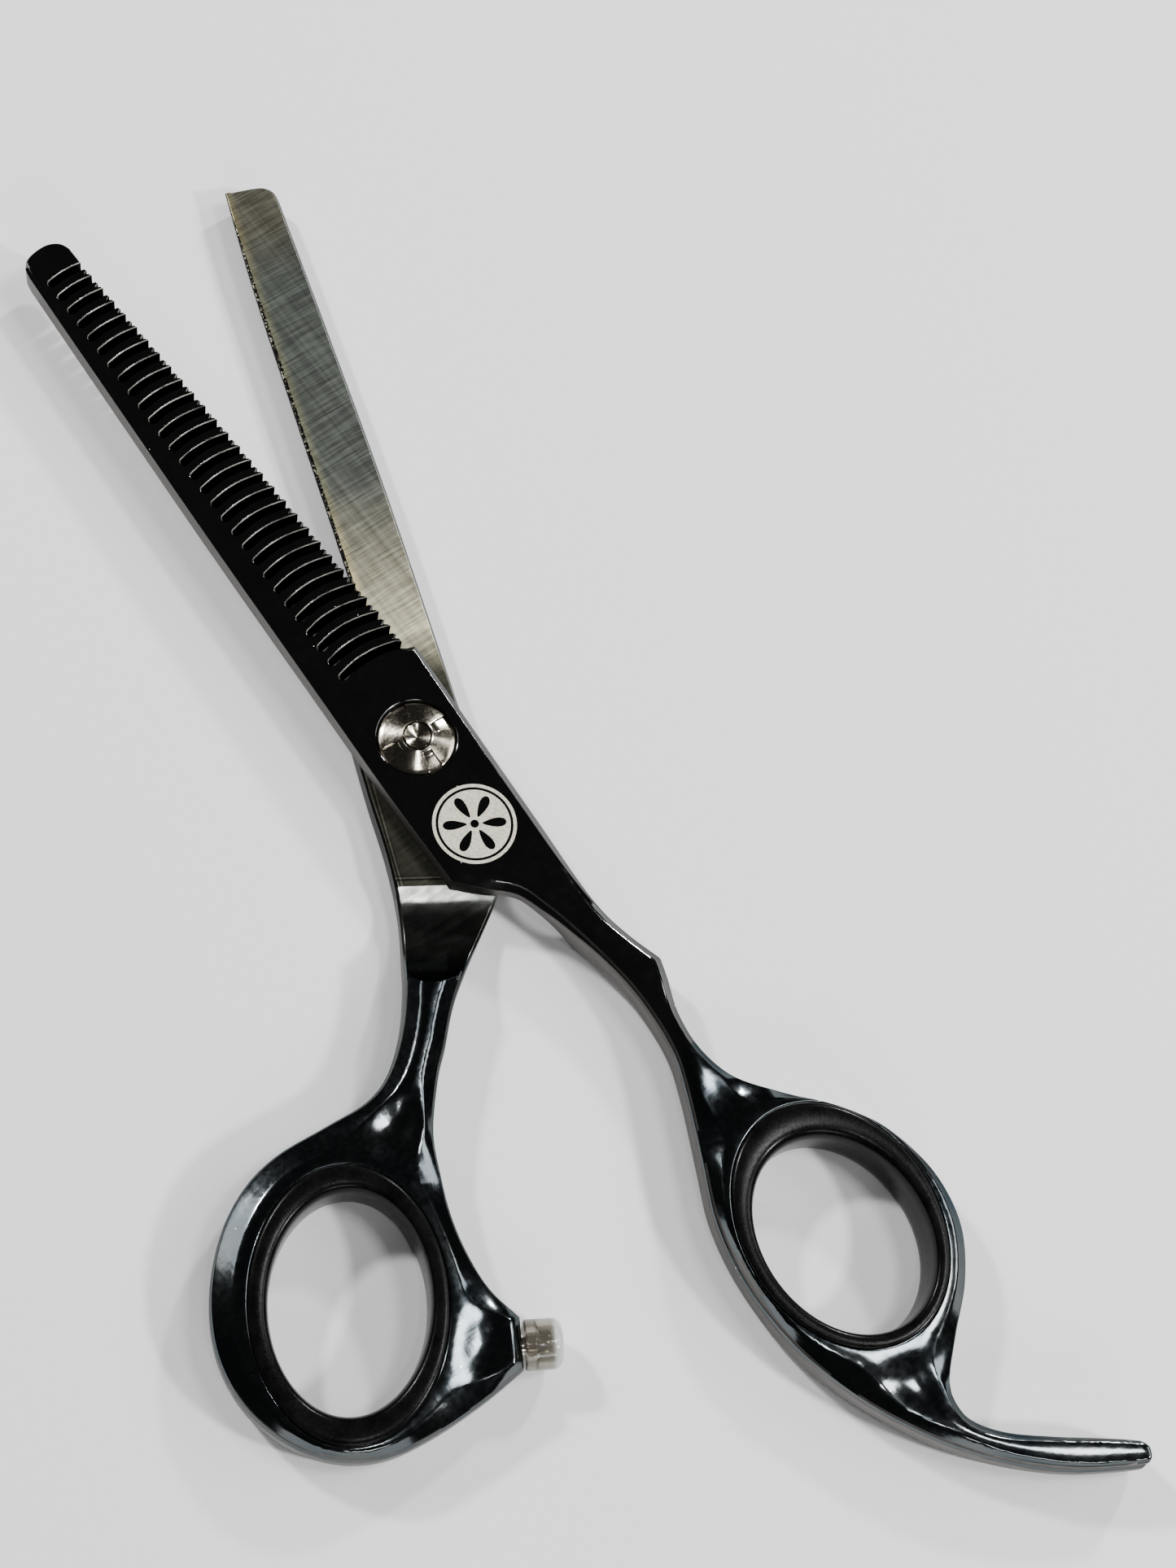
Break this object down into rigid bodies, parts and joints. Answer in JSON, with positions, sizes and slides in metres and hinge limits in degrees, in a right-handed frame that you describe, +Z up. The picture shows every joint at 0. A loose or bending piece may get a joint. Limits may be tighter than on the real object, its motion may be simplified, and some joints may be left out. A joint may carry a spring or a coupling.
{
  "type": "thinning shears",
  "caption": "Hair thinning shears: comb blade over a plain blade, pivot with tension dial, lined finger rings, curved finger rest and soft bumper.",
  "frame": {"origin": "on the pivot axis, at the level of the surface that the shears lie on", "axes": "+Z up along the pivot axis, +Y along the toothed blade from the pivot to its tip, so the finger ring is at -Y"},
  "size_m": [0.0793, 0.171, 0.0072],
  "materials": {
    "polished_steel": "mirror polished, dark",
    "bright_steel": "turned and polished",
    "sintered_bronze": "plain",
    "black_rubber": "moulded, satin",
    "white_nylon": "plain",
    "grey_silicone": "moulded, translucent"
  },
  "bodies": {
    "toothed_half": {"toothed_blade": "polished_steel", "pivot_bush": "sintered_bronze", "finger_insert": "black_rubber"},
    "plain_half": {"plain_blade": "polished_steel", "pivot_screw": "bright_steel", "glide_washer": "white_nylon", "click_plate": "bright_steel", "tension_spring": "bright_steel", "thumb_insert": "black_rubber", "bumper_stud": "bright_steel", "bumper_cap": "grey_silicone"},
    "dial": {"tension_dial": "bright_steel"}
  },
  "joints": [
    {"name": "pivot", "type": "hinge", "parent": "toothed_half", "child": "plain_half", "pos_m": [0, 0, 0], "axis": [0, 0, 1], "range_deg": [-40, 16.4]},
    {"name": "tension_adjust", "type": "hinge", "parent": "toothed_half", "child": "dial", "pos_m": [0, 0, 0.006], "axis": [0, 0, 1], "range_deg": [-120, 240]}
  ]
}
